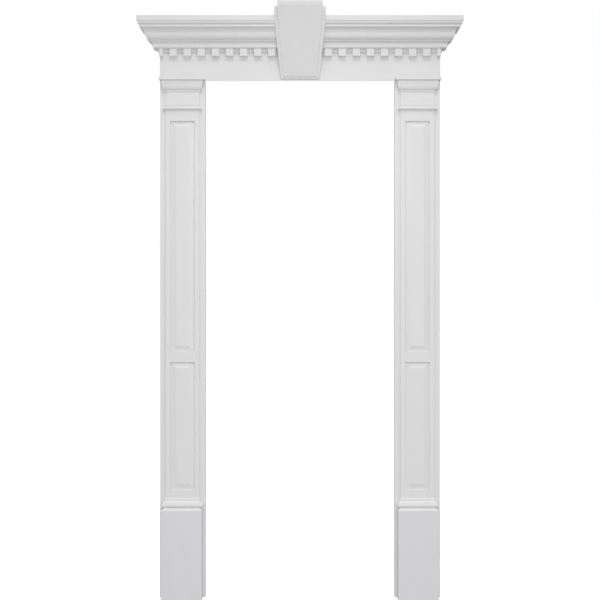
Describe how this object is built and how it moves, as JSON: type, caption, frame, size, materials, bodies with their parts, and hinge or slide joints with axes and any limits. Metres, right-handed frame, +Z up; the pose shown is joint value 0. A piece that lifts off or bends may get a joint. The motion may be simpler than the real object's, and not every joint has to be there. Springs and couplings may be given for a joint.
{
  "type": "door surround",
  "caption": "White door surround: flat crosshead with dentils, cyma crown and tapered keystone, on panelled pilasters with plinth blocks.",
  "frame": {"origin": "middle of the crosshead's back face, in the plane of the wall, where the surround is fixed", "axes": "+Z up, +Y into the wall so that the front looks along -Y, +X to the right of someone who faces the door"},
  "size_m": [1.541, 0.155, 2.828],
  "materials": {
    "crosshead_paint": "white satin paint on moulded polyurethane",
    "keystone_paint": "white satin paint on moulded polyurethane",
    "pilaster_paint": "white satin paint on moulded polyurethane",
    "plinth_block_paint": "white satin paint on moulded polyurethane"
  },
  "bodies": {
    "root": {"crosshead": "crosshead_paint", "keystone": "keystone_paint", "pilaster_left": "pilaster_paint", "pilaster_right": "pilaster_paint", "plinth_block_left": "plinth_block_paint", "plinth_block_right": "plinth_block_paint"}
  },
  "joints": []
}
